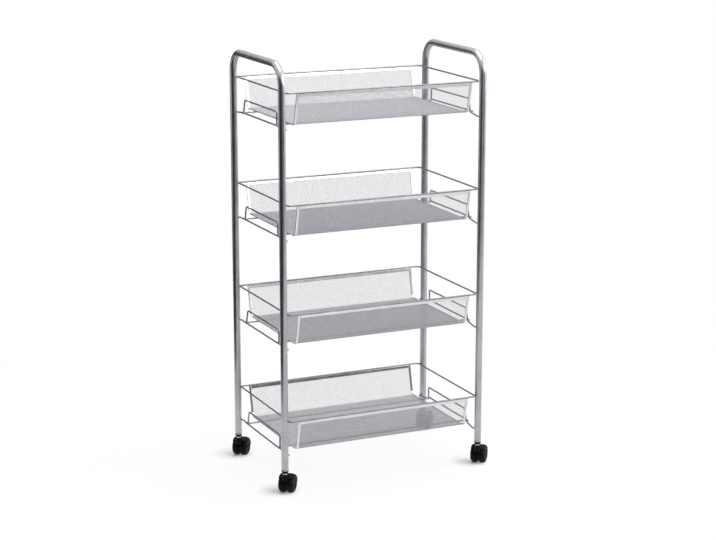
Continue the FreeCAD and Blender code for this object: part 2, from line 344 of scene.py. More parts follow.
def end_guard(side, name):
    """The hat-shaped wire across one end of the bottom basket, with its welded bar."""
    rear_half = [Vector((side * hook_tip_x, post_y, hook_z)),
                 Vector((side * (post_x - hook_knee_inset), post_y, hook_z)),
                 Vector((side * guard_foot_x, guard_foot_y, rod_z - guard_foot_depth)),
                 Vector((side * (guard_foot_x - guard_lean.x), guard_foot_y - guard_lean.y, guard_top_z))]
    front_half = [Vector((point.x, -point.y, point.z)) for point in reversed(rear_half)]
    bends = [hook_bend_r] + [guard_bend_r] * 4 + [hook_bend_r]
    hat = round_bar("hat", rear_half + front_half, bends, wire_r)
    bar_end = guard_foot_y + 2 * wire_r
    bar_ends = [Vector((side * lower_bar_x, y, rod_z)) for y in (-bar_end, bar_end)]
    bar = round_bar("bar", bar_ends, [], wire_r)
    round_edges(bar, bar_end_round, segments=2, sharper_than=60)
    return join_parts([hat, bar], name)


wire_parts["left_guard"] = end_guard(-1, "bottom_left_hat")
wire_parts["right_guard"] = end_guard(1, "bottom_right_hat")
tell(wire_parts["left_guard"])
tell(wire_parts["right_guard"])

# %% [markdown]
# ## Floor rods
# Two straight rods of the same wire run under the mesh floor from end to end and carry it. A plain
# cylinder would do for a straight rod, but made as the other wires are, it has their sides and their
# shading.

# %% Lay the floor rods
rod_y = rod_high.y - wire_r
rods = []
for y in (-rod_y, rod_y):
    rod_ends = [Vector((x, y, rod_z)) for x in (rod_low.x, rod_high.x)]
    rods.append(round_bar("rod", rod_ends, [], wire_r))
wire_parts["floor_rods"] = join_parts(rods, "bottom_rods")
tell(wire_parts["floor_rods"])

# %% [markdown]
# ## Mesh trays
# The tray is one sheet of expanded steel, slit and stretched into small diamonds, then folded up at the
# front and the rear. A texture with holes would look flat at the folds and vanish from an exported
# model, so the bars are real geometry. One diamond and its neighbour are tiled by two Array modifiers
# into a flat sheet, the sheet is cut into floor, front and rear, each is folded by a small formula, and
# the Wireframe modifier turns the edges of the diamonds into bars.

# %% Work out how the sheet folds
fold_r = 9 * mm
fold_inset = 14.5 * mm
top_hem_h = 6 * mm
floor_low, floor_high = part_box("bottom_floor_mesh")
mesh_end = floor_high.x
floor_half = floor_high.y
floor_z = (floor_low.z + floor_high.z) / 2
tray_depth = rim_z - floor_z
wall_turn = math.atan2(tray_depth, fold_inset)
fold_setback = fold_r * math.tan(wall_turn / 2)
wall_height = math.hypot(fold_inset, tray_depth) - wire_r
sheet_half = floor_half + fold_r * wall_turn + wall_height - top_hem_h - fold_setback
print("walls turned up by", round(math.degrees(wall_turn), 1), "degrees")


def folded(along):
    """Where a point of the flat sheet lies once folded: its place across the tray, and its height."""
    end = math.copysign(1, along)
    beyond = abs(along) - floor_half
    if beyond <= 0:
        return along, floor_z
    turn = min(beyond / fold_r, wall_turn)
    up = max(beyond - fold_r * wall_turn, 0)
    across = floor_half + fold_r * math.sin(turn) + up * math.cos(wall_turn)
    return end * across, floor_z + fold_r * (1 - math.cos(turn)) + up * math.sin(wall_turn)


# %% Tile the flat sheet
# The real diamonds are about 4 by 2.5 mm. They are drawn a little coarser here, so that they show.
diamond_x = 5.8 * mm
diamond_y = 3.5 * mm
diamond_merge_gap = 0.05 * mm


def diamond_sheet():
    """A flat sheet of diamond faces, centred on the origin, a little larger than the hems leave open."""
    clear_selection()
    bpy.ops.mesh.primitive_circle_add(vertices=4, radius=0.5, fill_type="NGON")
    sheet = bpy.context.object
    sheet.scale = (diamond_x, diamond_y, 1)
    start_shaping()
    bpy.ops.mesh.duplicate_move(TRANSFORM_OT_translate={"value": (diamond_x / 2, diamond_y / 2, 0)})
    bpy.ops.object.mode_set(mode="OBJECT")
    columns = math.ceil((2 * mesh_end + diamond_x / 2) / diamond_x)
    rows = math.ceil((2 * sheet_half + diamond_y / 2) / diamond_y)
    for count, step in ((columns, (diamond_x, 0, 0)), (rows, (0, diamond_y, 0))):
        apply_modifier(sheet, "ARRAY", count=count, use_relative_offset=False, use_constant_offset=True,
                       constant_offset_displace=step, use_merge_vertices=True,
                       merge_threshold=diamond_merge_gap)
    centre = Vector(((columns - 0.5) * diamond_x / 2, (rows - 0.5) * diamond_y / 2, 0))
    sheet.data.transform(Matrix.Translation(-centre))
    return sheet


flat_sheet = diamond_sheet()
print("flat sheet", len(flat_sheet.data.polygons), "diamonds")


# %% Cut out the front and the rear
def cut_out(sheet, name, wanted):
    """Separates the faces whose middle is wanted from a sheet, as a piece of its own."""
    clear_selection()
    sheet.select_set(True)
    bpy.context.view_layer.objects.active = sheet
    bpy.ops.object.mode_set(mode="EDIT")
    bpy.ops.mesh.select_mode(type="FACE")
    mesh = bmesh.from_edit_mesh(sheet.data)
    for face in mesh.faces:
        face.select_set(wanted(face.calc_center_median().y))
    bmesh.update_edit_mesh(sheet.data)
    bpy.ops.mesh.separate(type="SELECTED")
    bpy.ops.mesh.select_mode(type="VERT")
    bpy.ops.object.mode_set(mode="OBJECT")
    piece = next(part for part in bpy.context.selected_objects if part != sheet)
    piece.name = name
    piece.data.name = name
    return piece


mesh_parts = {"front_mesh": cut_out(flat_sheet, "bottom_front_net", lambda y: y < -floor_half),
              "rear_mesh": cut_out(flat_sheet, "bottom_rear_net", lambda y: y > floor_half)}
mesh_parts["floor_mesh"] = flat_sheet
flat_sheet.name = "bottom_floor_net"
print("diamonds", {part.name: len(part.data.polygons) for part in mesh_parts.values()})

# %% Fold the pieces and open the diamonds
bar_w = 0.7 * mm
for part in mesh_parts.values():
    for point in part.data.vertices:
        point.co.y, point.co.z = folded(point.co.y)
    apply_modifier(part, "WIREFRAME", thickness=bar_w, use_even_offset=False, use_boundary=True)
    bpy.ops.object.shade_smooth()
    tell(part)

# %% [markdown]
# ## Hems
# Cut mesh is sharp, so every edge of the sheet is hemmed with a folded strip of plain steel. The strip
# down each open end follows the tray's section, and is extruded and spun like the wires, from a flat
# rectangle. It could be cut from the edge of the mesh sheet and thickened, but its bends would then be
# as coarse as the diamonds. At the front and rear a straight strip, leaning with the wall, is welded to
# the underside of the rim wire. A Bevel modifier rounds every strip as folding does, so that its edges
# catch the light.

# %% Place and soften the strips
hem_t = 2 * mm
hem_edge_r = 0.55 * mm
weld_depth = 0.3 * mm
tray_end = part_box("bottom_edge_hem")[1].x
print("hem strips", round((tray_end - mesh_end) / mm, 1), "mm wide down the open ends")


def wall_point(end, height):
    """A point on the front (-1) or rear (1) wall, at a height along its slope above the fold line."""
    fold_y = floor_half + fold_setback
    across = end * (fold_y + height * math.cos(wall_turn))
    return Vector((0, across, floor_z + height * math.sin(wall_turn)))


def soft_edged(strip):
    """Rounds the edges of a strip, as folding over does."""
    round_edges(strip, hem_edge_r, segments=3, sharper_than=soft_crease)
    shade_soft()
    return strip


# %% Fold the end hems
hem_bend_steps = 10


def end_hem(x_from, x_to):
    """The strip round one open end, from the front rim down, under and up to the rear rim."""
    points = [wall_point(-1, wall_height), wall_point(-1, 0),
              wall_point(1, 0), wall_point(1, wall_height)]
    middle = Vector(((x_from + x_to) / 2, 0, 0))
    heading = (points[1] - points[0]).normalized()
    sideways = Vector((1, 0, 0))
    facing = Matrix((sideways, heading.cross(sideways), heading)).transposed().to_euler()
    clear_selection()
    bpy.ops.mesh.primitive_plane_add(size=1, location=points[0] + middle, rotation=facing)
    bpy.context.object.scale = (x_to - x_from, hem_t, 1)
    start_shaping()
    push_and_bend([point + middle for point in points], [fold_r] * 2, hem_bend_steps)
    return soft_edged(finish_shape("strip"))


strips = [end_hem(-tray_end, -mesh_end), end_hem(mesh_end, tray_end)]
print("end hems", [len(strip.data.polygons) for strip in strips], "faces")


# %% Weld on the top hems
def top_hem(end):
    """The straight strip under the front (-1) or rear (1) rim wire, welded to it."""
    middle = wall_point(end, wall_height + (weld_depth - top_hem_h) / 2)
    lean = -end * (math.pi / 2 - wall_turn)
    clear_selection()
    bpy.ops.mesh.primitive_cube_add(size=1, location=middle, rotation=(lean, 0, 0))
    bpy.context.object.scale = (2 * mesh_end, hem_t, top_hem_h + weld_depth)
    bpy.ops.object.transform_apply()
    return soft_edged(finish_shape("strip"))


hem = join_parts([*strips, top_hem(-1), top_hem(1)], "bottom_hem")
tell(hem)

# %% [markdown]
# ## Four baskets
# All four baskets are the same, so the finished one is copied to the other three levels. Linked copies
# would share one mesh and take less room, but then the place of each would be in its object. Here each
# copy has a mesh of its own with its place in it, so that every object stays at the origin, as the
# plain solids do. It rides on the cart and takes the place of its plain solid.

# %% Copy the basket to its four levels
def copy_part(part, name, place):
    """A copy of a part with its own mesh, carried to its place by a matrix."""
    twin = part.copy()
    twin.data = part.data.copy()
    twin.data.transform(place)
    twin.name = name
    twin.data.name = name
    bpy.context.scene.collection.objects.link(twin)
    return twin


basket_slots = {"rim_wire": "silver_wire", "left_guard": "silver_wire", "right_guard": "silver_wire",
                "floor_rods": "silver_wire", "front_mesh": "mesh_sheet", "rear_mesh": "mesh_sheet",
                "floor_mesh": "mesh_sheet", "edge_hem": "hem_strip"}
basket_parts = {**wire_parts, **mesh_parts, "edge_hem": hem}
slot_parts = {slot: [] for slot in ("silver_wire", "mesh_sheet", "hem_strip")}
for tier in tiers:
    for node, part in basket_parts.items():
        piece = part
        if tier != "bottom":
            lift = Matrix.Translation((0, 0, tier_lift[tier]))
            piece = copy_part(part, part.name.replace("bottom", tier), lift)
        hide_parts(f"{tier}_{node}")
        slot_parts[basket_slots[node]].append(piece)
for slot, parts in slot_parts.items():
    for piece in parts:
        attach(piece, "cart")
    print(slot, len(parts), "pieces")

# %% [markdown]
# ## Casters
# A twin-wheel caster has a plastic socket pushed into the tube's end, a steel stem with a collar that
# turns in it, and a hooded housing with a web between its two wheels. It could be modelled where it
# stands, but there it is turned askew, which makes every step harder to measure. So one caster is made
# at the origin, with its axle along X, and is copied to the four corners later, turned the way the
# casters stand at rest. How far the wheels trail behind the stem, and that turn, are read from the
# joints.

# %% Read how a caster stands
spin = next(joint for joint in frame["joints"] if joint["name"] == "left_front_left_wheel_spin")
wheel_place = Vector(spin["pos_m"])
axle_axis = Vector(spin["axis"])
behind_stem = wheel_place - joint_at["left_front_swivel"]
wheel_r = wheel_place.z
trail = math.hypot(behind_stem.x, behind_stem.y)
rest_turn = math.atan2(axle_axis.y, axle_axis.x)
axle = Vector((0, trail, wheel_r))
to_axle = Matrix.Translation(axle) @ Matrix.Rotation(math.pi / 2, 4, "Y")
print("wheel radius", round(wheel_r / mm, 1), "trail", round(trail / mm, 1), "mm")
print("casters turned by", round(math.degrees(rest_turn), 1), "degrees")

# %% [markdown]
# ### Turned pieces
# Socket, stem, boss, hub and wheels are round. An outline spun round an axis would do, but it leaves a
# seam and two poles to close. Here a circle is extruded and scaled from one step of the profile to the
# next, as a lathe cuts one step after the other, so the piece is closed from the start. A Bevel
# modifier takes its corners off.

# %% Turn a piece from its profile
turned_sides = 48
corner_round = 0.3 * mm


def turned(name, profile, sides=turned_sides, round_off=corner_round):
    """A piece turned about Z, from steps of (radius, height), closed at both ends."""
    clear_selection()
    first_r, first_z = profile[0]
    bpy.ops.mesh.primitive_circle_add(vertices=sides, radius=first_r, fill_type="NGON",
                                      location=(0, 0, first_z))
    start_shaping()
    for (radius, height), (next_radius, next_height) in zip(profile, profile[1:]):
        push((0, 0, next_height - height))
        scale = next_radius / radius
        bpy.ops.transform.resize(value=(scale, scale, 1), center_override=(0, 0, next_height))
    part = finish_shape(name)
    if round_off:
        round_edges(part, round_off, segments=2, sharper_than=35)
    shade_soft()
    return part


# %% [markdown]
# ### Socket
# The socket is one moulding: a plug pressed into the tube, a lip that closes the tube's end, and a
# tapered nose. Only the mouth of its bore can be seen, beside the stem, so the profile goes just a
# little way up into it. A full bore would add faces that nobody sees.

# %% Turn the socket
socket_low, socket_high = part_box("left_front_caster_socket")
stem_r = 3 * mm
plug_gap = 0.02 * mm
plug_r = tube_r - tube_wall - plug_gap
lip_overhang = 0.4 * mm
lip_r = tube_r + lip_overhang
lip_h = 1 * mm
nose_r = 5 * mm
nose_chamfer = 0.6 * mm
bore_gap = 0.05 * mm
bore_r = stem_r + bore_gap
bore_mouth = 3 * mm
socket_profile = [(plug_r, socket_high.z), (plug_r, tube_end_z),
                  (lip_r, tube_end_z), (lip_r, tube_end_z - lip_h),
                  (nose_r + nose_chamfer, socket_low.z + nose_chamfer), (nose_r, socket_low.z),
                  (bore_r, socket_low.z), (bore_r, socket_low.z + bore_mouth)]
socket = turned("socket", socket_profile)
tell(socket)

# %% [markdown]
# ### Stem
# The stem is turned from steel rod. Its collar is the bright ring that shows between the housing and
# the socket, and the rest of it is hidden inside them. It is still made whole, so that it can be seen
# when a piece is taken off. Rod and collar could be two cylinders, one through the other, but one
# profile gives both with no joint between them.

# %% Turn the stem
stem_sides = 40
stem_low, stem_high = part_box("left_front_caster_stem")
housing_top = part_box("left_front_caster_housing")[1].z
collar_r = (stem_high.x - stem_low.x) / 2
collar_h = 2.2 * mm
collar_top = housing_top + collar_h
stem_profile = [(stem_r, stem_low.z), (stem_r, housing_top), (collar_r, housing_top),
                (collar_r, collar_top), (stem_r, collar_top), (stem_r, stem_high.z)]
stem = turned("stem", stem_profile, sides=stem_sides)
tell(stem)

# %% [markdown]
# ### Hood
# The hood is moulded in one piece with the web, the hub and the boss that holds the stem. Its section
# is drawn flat, straight behind the axle, as a web with a slightly crowned bar across its top, and spun
# up and over the wheels. Cutting it out of a solid block would need more Booleans and leave rougher
# edges. The hub and the boss are turned pieces, united with it at the end. Room for the wheels is first
# cut out of the boss.

# %% Work out the hood's sizes
wheel_inner_x = 3.25 * mm
wheel_w = 12.5 * mm
web_w = 5.5 * mm
hub_r = 14.5 * mm
hood_clearance = 0.8 * mm
hood_wall = 1.7 * mm
hood_inset = 1 * mm
hood_edge_w = 6 * mm
hood_edge_drop = 2 * mm
# The hood's edge bends down in three steps, each by its share of the whole drop.
crown_shares = (0.2, 0.3, 0.5)
hood_inner_r = wheel_r + hood_clearance
hood_half = wheel_inner_x + wheel_w - hood_inset
print("hood", round(2 * hood_half / mm, 1), "mm wide, inner radius", round(hood_inner_r / mm, 1), "mm")


# %% Push out the hood's section
def select_points(part, wanted):
    """Selects, in edit mode, the points that are wanted, and the edges and faces between them."""
    mesh = bmesh.from_edit_mesh(part.data)
    for point in mesh.verts:
        point.select_set(wanted(point.co))
    mesh.select_flush(True)
    mesh.select_flush(False)
    bmesh.update_edit_mesh(part.data)


def hood_section():
    """The flat T of web and crowned bar, left open in edit mode."""
    web_low = hub_r / 2
    clear_selection()
    bpy.ops.mesh.primitive_plane_add(size=1, location=axle + Vector((0, (web_low + hood_inner_r) / 2, 0)))
    section = bpy.context.object
    section.scale = (web_w, hood_inner_r - web_low, 1)
    start_shaping()
    bpy.ops.mesh.select_all(action="DESELECT")
    bar_from = trail + hood_inner_r - merge_gap
    side_from = web_w / 2 - merge_gap
    select_points(section, lambda place: place.y > bar_from)
    push((0, hood_wall, 0))
    for side in (-1, 1):
        select_points(section, lambda place: side * place.x > side_from and place.y > bar_from)
        push((side * (hood_half - hood_edge_w - web_w / 2), 0, 0))
        for share in crown_shares:
            push((side * hood_edge_w / len(crown_shares), -share * hood_edge_drop, 0))


# %% Spin the section over the wheels
hood_turn = math.radians(132)
hood_steps = 26
hood_round = 0.5 * mm
hood_section()
bpy.ops.mesh.select_all(action="SELECT")
bpy.ops.mesh.spin(steps=hood_steps, angle=-hood_turn, center=axle, axis=(1, 0, 0))
hood = finish_shape("hood")
round_edges(hood, hood_round, segments=3, sharper_than=50)
tell(hood)

# %% Unite the hood with its boss and hub
boss_r = 6 * mm
boss_depth = 14 * mm
boss = turned("boss", [(boss_r, housing_top - boss_depth), (boss_r, housing_top)], round_off=hood_round)
for side in (-1, 1):
    room_profile = [(hood_inner_r, side * web_w / 2), (hood_inner_r, side * 2 * boss_r)]
    room = turned("room", room_profile, round_off=0)
    room.data.transform(to_axle)
    combine(boss, room, "DIFFERENCE")
hub = turned("hub", [(hub_r, -web_w / 2), (hub_r, web_w / 2)], round_off=0)
hub.data.transform(to_axle)
combine(hood, hub, "UNION")
combine(hood, boss, "UNION")
shade_soft()
tell(hood)

# %% [markdown]
# ### Wheels
# A wheel is a nylon moulding with a round-shouldered tread, a shallow dish in its face and a domed cap
# over its hub. The dish and the cap could be a bump in the material, but they change the outline and
# catch the light, so they are steps of the profile. The wheel is turned about Z with its inner face
# down and then laid over onto the axle. The left wheel is the right one turned round, so that both
# dishes look outwards.

# %% Draw the wheel's profile
shoulder_r = 7 * mm
inner_round = 1.5 * mm
dish_r = 9.5 * mm
dish_depth = 1.5 * mm
cap_r = 4.5 * mm
# Steps of the cap's dome: how far inside its edge, and how far below the wheel's face.
cap_dome = ((0.3 * mm, 0.9 * mm), (1.2 * mm, 0.5 * mm), (3 * mm, 0.35 * mm))


def arc_steps(centre_r, centre_z, radius, start, end, count):
    """Profile steps round a quarter or part of a circle, with angles in degrees from straight out."""
    angles = [math.radians(start + (end - start) * step / count) for step in range(count + 1)]
    return [(centre_r + radius * math.cos(angle), centre_z + radius * math.sin(angle)) for angle in angles]


wheel_profile = [(cap_r, 0)]
wheel_profile += arc_steps(wheel_r - inner_round, inner_round, inner_round, start=-90, end=0, count=3)
wheel_profile += arc_steps(wheel_r - shoulder_r, wheel_w - shoulder_r, shoulder_r,
                           start=0, end=90, count=6)
wheel_profile += [(dish_r, wheel_w), (dish_r - dish_depth, wheel_w - dish_depth)]
wheel_profile += [(cap_r, wheel_w - dish_depth)]
wheel_profile += [(cap_r - inset, wheel_w - below) for inset, below in cap_dome]
print("wheel profile", len(wheel_profile), "steps")

# %% Turn the wheels and lay them over
wheel_sides = 72
wheel_round = 0.12 * mm
right_wheel = turned("wheel", wheel_profile, sides=wheel_sides, round_off=wheel_round)
left_wheel = copy_part(right_wheel, "left_wheel", Matrix.Rotation(math.pi, 4, "Y"))
for part, side in ((right_wheel, 1), (left_wheel, -1)):
    part.data.transform(Matrix.Translation((side * wheel_inner_x, 0, 0)) @ to_axle)
    tell(part)

# %% [markdown]
# ### Four casters
# The finished caster is copied to the four corners. Each socket rides on the cart, stem and hood ride
# on their swivelling caster, and each wheel rides on a body of its own, so that every joint moves just
# what it moves on the real cart. Parenting the pieces to each other could move them too, but the bodies
# of the frame already do. The axles are hidden between the wheels, so they keep their plain solids and
# only get a finish.

# %% Copy the caster to the four corners
corners = ("left_front", "left_rear", "right_front", "right_rear")
caster_parts = {"socket": socket, "stem": stem, "housing": hood,
                "right_wheel": right_wheel, "left_wheel": left_wheel}
caster_slots = {"socket": "socket_plastic", "stem": "bright_steel", "housing": "caster_plastic",
                "right_wheel": "wheel_plastic", "left_wheel": "wheel_plastic"}
slot_parts.update({slot: [] for slot in caster_slots.values()})
for corner in corners:
    stem_foot = joint_at[f"{corner}_swivel"].copy()
    stem_foot.z = 0
    place = Matrix.Translation(stem_foot) @ Matrix.Rotation(rest_turn, 4, "Z")
    bodies = {"socket": "cart", "stem": f"{corner}_caster", "housing": f"{corner}_caster",
              "right_wheel": f"{corner}_right_wheel", "left_wheel": f"{corner}_left_wheel"}
    for node, part in caster_parts.items():
        piece = copy_part(part, f"{corner}_{part.name}", place)
        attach(piece, bodies[node])
        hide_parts(f"{corner}_caster_{node}")
        slot_parts[caster_slots[node]].append(piece)
for part in caster_parts.values():
    bpy.data.objects.remove(part)
slot_parts["silver_tube"] = tube_frames
slot_parts["bright_steel"] += [frame["nodes"][f"{corner}_caster_axle"] for corner in corners]
print("caster pieces", sum(len(slot_parts[slot]) for slot in set(caster_slots.values())))

# %% [markdown]
# ## Materials
# The cart has three finishes: silver enamel on steel, bright zinc plate and black nylon. Each is built
# from a few nodes on Object coordinates, so that a pattern keeps its real size on every piece. A
# picture wrapped round each piece would need a map of its own for every shape. Colours are written as
# sRGB hex values, and one function turns them to the linear values that shaders use.

# %% Mix colours and add nodes
def linear(hex_colour):
    """The linear colour of an sRGB hex value, with full opacity."""
    shares = [int(hex_colour[place:place + 2], 16) / 255 for place in (1, 3, 5)]
    return [share / 12.92 if share <= 0.04045 else ((share + 0.055) / 1.055) ** 2.4
            for share in shares] + [1]


def add_node(tree, kind, inputs=None, **settings):
    """Adds a node with its settings, and fills its inputs with values or with links from other nodes."""
    node = tree.nodes.new(kind)
    for name, value in settings.items():
        setattr(node, name, value)
    for name, value in (inputs or {}).items():
        if isinstance(value, bpy.types.NodeSocket):
            tree.links.new(value, node.inputs[name])
        else:
            node.inputs[name].default_value = value
    return node


def empty_material(name):
    """A material with no nodes yet."""
    material = bpy.data.materials.new(name)
    material.use_nodes = True
    material.node_tree.nodes.clear()
    return material


print("mid grey", round(linear("#808080")[0], 3), "in linear light")

# %% [markdown]
# ### Silver enamel
# Tube, wire, mesh and hems are steel under a sprayed silver enamel: a clear coat over fine metal flake.
# A plain metal with one roughness would look like chrome. So noise mixes two silvers by flake and by
# the cloud that the spray gun leaves, lets the gloss wander where hands have worn it, and adds a faint
# orange peel. The mesh is far less metallic than the tubes, because its rough cut bars scatter light
# and mirror little. The wire's silvers are set darker than the tube's, which is painted shade, and the
# hems' silvers paler, which is a painted bright reflection.

# %% Set the grain of the enamel
# Real flakes are a few hundredths of a millimetre wide. They are drawn coarser, to show close up.
flake_size = 0.5 * mm
peel_size = 1.6 * mm
peel_strength = 0.08
peel_height = 0.1 * mm
worn_size = 45 * mm
coat_weight = 0.25
coat_roughness = 0.08
# Noise seldom leaves this range, so it is stretched to run from a finish's smoothest to its roughest.
noise_low = 0.3
noise_high = 0.7
# Two noises added together seldom leave this one.
pair_low = 0.7
pair_high = 1.3
print("flakes", round(flake_size / mm, 2), "mm, orange peel", round(peel_size / mm, 2), "mm")


# %% Mix the enamel
def silver_enamel(name, deep, pale, metallic, smooth, rough, cloud_size):
    """Metal-flake enamel between two silvers, with a wandering gloss and a faint orange peel."""
    # It gives the eye soft bright and dark streaks down a tube, and a fine sparkle from close by.
    material = empty_material(name)
    tree = material.node_tree
    place = add_node(tree, "ShaderNodeTexCoord").outputs["Object"]
    flake = add_node(tree, "ShaderNodeTexNoise", {"Vector": place, "Scale": 1 / flake_size, "Detail": 1})
    cloud = add_node(tree, "ShaderNodeTexNoise", {"Vector": place, "Scale": 1 / cloud_size, "Detail": 2})
    both = add_node(tree, "ShaderNodeMath", {0: flake.outputs["Fac"], 1: cloud.outputs["Fac"]},
                    operation="ADD")
    share = add_node(tree, "ShaderNodeMapRange",
                     {"Value": both.outputs[0], "From Min": pair_low, "From Max": pair_high})
    tint = add_node(tree, "ShaderNodeMix", {0: share.outputs["Result"], 6: linear(deep), 7: linear(pale)},
                    data_type="RGBA")
    handled = add_node(tree, "ShaderNodeTexNoise", {"Vector": place, "Scale": 1 / worn_size, "Detail": 3})
    gloss = add_node(tree, "ShaderNodeMapRange",
                     {"Value": handled.outputs["Fac"], "From Min": noise_low, "From Max": noise_high,
                      "To Min": smooth, "To Max": rough})
    peel = add_node(tree, "ShaderNodeTexNoise", {"Vector": place, "Scale": 1 / peel_size, "Detail": 2})
    bump = add_node(tree, "ShaderNodeBump",
                    {"Height": peel.outputs["Fac"], "Strength": peel_strength, "Distance": peel_height})
    shader = add_node(tree, "ShaderNodeBsdfPrincipled",
                      {"Base Color": tint.outputs[2], "Metallic": metallic,
                       "Roughness": gloss.outputs["Result"], "Normal": bump.outputs["Normal"],
                       "Coat Weight": coat_weight, "Coat Roughness": coat_roughness})
    add_node(tree, "ShaderNodeOutputMaterial", {"Surface": shader.outputs["BSDF"]})
    return material


# %% Spray the steel pieces
finishes = {}
finishes["silver_tube"] = silver_enamel("silver_enamel_on_tube", "#A6A5AB", "#BCBBC2", metallic=0.95,
                                        smooth=0.26, rough=0.34, cloud_size=30 * mm)
# The wire is the tube's enamel, with its two silvers set darker: this is painted shade.
finishes["silver_wire"] = silver_enamel("silver_enamel_on_wire", "#7E7D83", "#949399", metallic=0.95,
                                        smooth=0.26, rough=0.34, cloud_size=30 * mm)
finishes["mesh_sheet"] = silver_enamel("silver_enamel_on_mesh", "#9A969E", "#B8B4BC", metallic=0.25,
                                       smooth=0.4, rough=0.5, cloud_size=7 * mm)
# The hems are the tube's enamel, with their two silvers set much paler: this is a painted bright
# reflection.
finishes["hem_strip"] = silver_enamel("silver_enamel_on_hem", "#D2D1D6", "#E4E3E8", metallic=0.95,
                                      smooth=0.18, rough=0.25, cloud_size=30 * mm)
print("enamels", [finish.name for finish in finishes.values()])

# %% [markdown]
# ### Bright zinc plate
# Stems and axles are turned steel with a bright zinc plate. The lathe leaves fine rings round them. Cut
# into the mesh, they would take thousands of faces for a few millimetres of metal, so a Wave node along
# Z, the stem's own axis, draws them as bands of two greys.

# %% Plate the stems and axles
# A Wave node draws a little over three bands in one unit of its scale, which is this wide. Real rings are
# about a tenth of a millimetre apart, and are drawn coarser, so that they show.
three_rings = 2.5 * mm
ring_wander = 1.5
zinc_roughness = 0.22


def zinc_plate(name, deep, pale):
    """Zinc plate on turned steel: bright, with fine rings left by the lathe."""
    # It gives the eye a small clear glint under the socket.
    material = empty_material(name)
    tree = material.node_tree
    place = add_node(tree, "ShaderNodeTexCoord").outputs["Object"]
    rings = add_node(tree, "ShaderNodeTexWave",
                     {"Vector": place, "Scale": 1 / three_rings, "Distortion": ring_wander},
                     bands_direction="Z")
    tint = add_node(tree, "ShaderNodeMix", {0: rings.outputs["Fac"], 6: linear(deep), 7: linear(pale)},
                    data_type="RGBA")
    shader = add_node(tree, "ShaderNodeBsdfPrincipled",
                      {"Base Color": tint.outputs[2], "Metallic": 1, "Roughness": zinc_roughness})
    add_node(tree, "ShaderNodeOutputMaterial", {"Surface": shader.outputs["BSDF"]})
    return material


finishes["bright_steel"] = zinc_plate("zinc_plate_on_steel", "#A9ACB0", "#D9DBDD")
print("plate", finishes["bright_steel"].name)

# %% [markdown]
# ### Black nylon
# Sockets, hoods and wheels are moulded nylon, coloured black all through. The mould is spark-eroded,
# which leaves a fine grain on them and softens their shine. A plain black would lose every edge in the
# dark, so two blacks are mixed by a slow cloud, the gloss wanders with it, and a fine bump is the
# grain.

# %% Mould the nylon pieces
mould_cloud_size = 8 * mm
# The real grain is under a tenth of a millimetre. It is drawn coarser, so that it shows close up.
grit_size = 0.35 * mm
grit_strength = 0.15
grit_height = 0.05 * mm
nylon_ior = 1.53
nylon_shine = 0.1


def black_nylon(name, deep, pale, smooth, rough):
    """Moulded nylon: near black, with a fine spark-eroded grain that softens its shine."""
    # It gives the eye a deep black form with a soft sheen along its rounded edges.
    material = empty_material(name)
    tree = material.node_tree
    place = add_node(tree, "ShaderNodeTexCoord").outputs["Object"]
    cloud = add_node(tree, "ShaderNodeTexNoise",
                     {"Vector": place, "Scale": 1 / mould_cloud_size, "Detail": 3})
    tint = add_node(tree, "ShaderNodeMix", {0: cloud.outputs["Fac"], 6: linear(deep), 7: linear(pale)},
                    data_type="RGBA")
    gloss = add_node(tree, "ShaderNodeMapRange",
                     {"Value": cloud.outputs["Fac"], "From Min": noise_low, "From Max": noise_high,
                      "To Min": smooth, "To Max": rough})
    grit = add_node(tree, "ShaderNodeTexNoise", {"Vector": place, "Scale": 1 / grit_size, "Detail": 1})
    bump = add_node(tree, "ShaderNodeBump",
                    {"Height": grit.outputs["Fac"], "Strength": grit_strength, "Distance": grit_height})
    shader = add_node(tree, "ShaderNodeBsdfPrincipled",
                      {"Base Color": tint.outputs[2], "Roughness": gloss.outputs["Result"],
                       "IOR": nylon_ior, "Specular IOR Level": nylon_shine,
                       "Normal": bump.outputs["Normal"]})
    add_node(tree, "ShaderNodeOutputMaterial", {"Surface": shader.outputs["BSDF"]})
    return material


finishes["socket_plastic"] = black_nylon("black_nylon_socket", "#050506", "#0A0A0B", smooth=0.5, rough=0.6)
finishes["caster_plastic"] = black_nylon("black_nylon_hood", "#040405", "#08080A", smooth=0.4, rough=0.5)
finishes["wheel_plastic"] = black_nylon("black_nylon_wheel", "#060607", "#0B0B0D", smooth=0.45, rough=0.55)
print("finishes", len(finishes))

# %% [markdown]
# ### Finishes on the pieces
# Every piece was put into a slot when it was made, and a slot stands for one finish. Materials could be
# given piece by piece, but one loop over the slots leaves none out, and a finish is changed in one
# place.

# %% Give each piece its finish
for slot, parts in slot_parts.items():
    for piece in parts:
        piece.data.materials.clear()
        piece.data.materials.append(finishes[slot])
    print(slot, len(parts), "pieces")

# %% [markdown]
# ## Floor
# The cart stands on a plain white floor. A floor that is only lit never comes out pure white, so this
# one shows white to the camera and in reflections, and keeps a share of its real shading for the
# shadows. The share is large round each caster, a little to the left and behind, where the light from
# the right throws the wheel's shadow, and small under the rest of the cart.

# %% Tell what is seen from what only lights
def seen_rays(tree):
    """1 for rays from the camera, a reflection or through glass, and 0 for rays that only carry light."""
    path = add_node(tree, "ShaderNodeLightPath")
    seen = path.outputs["Is Camera Ray"]
    for kind in ("Is Glossy Ray", "Is Transmission Ray"):
        either = add_node(tree, "ShaderNodeMath", {0: seen, 1: path.outputs[kind]}, operation="MAXIMUM")
        seen = either.outputs[0]
    return seen


# %% Leave room for shadows on the floor
floor_side = 40
shadow_share = 0.9
wide_shadow_share = 0.11
shadow_near = 12 * mm
shadow_far = 46 * mm
shadow_drift = Vector((-12, 15, 0)) * mm
white_from = 1.2
print("shadows fade from", round(shadow_near / mm), "to", round(shadow_far / mm), "mm round each caster")


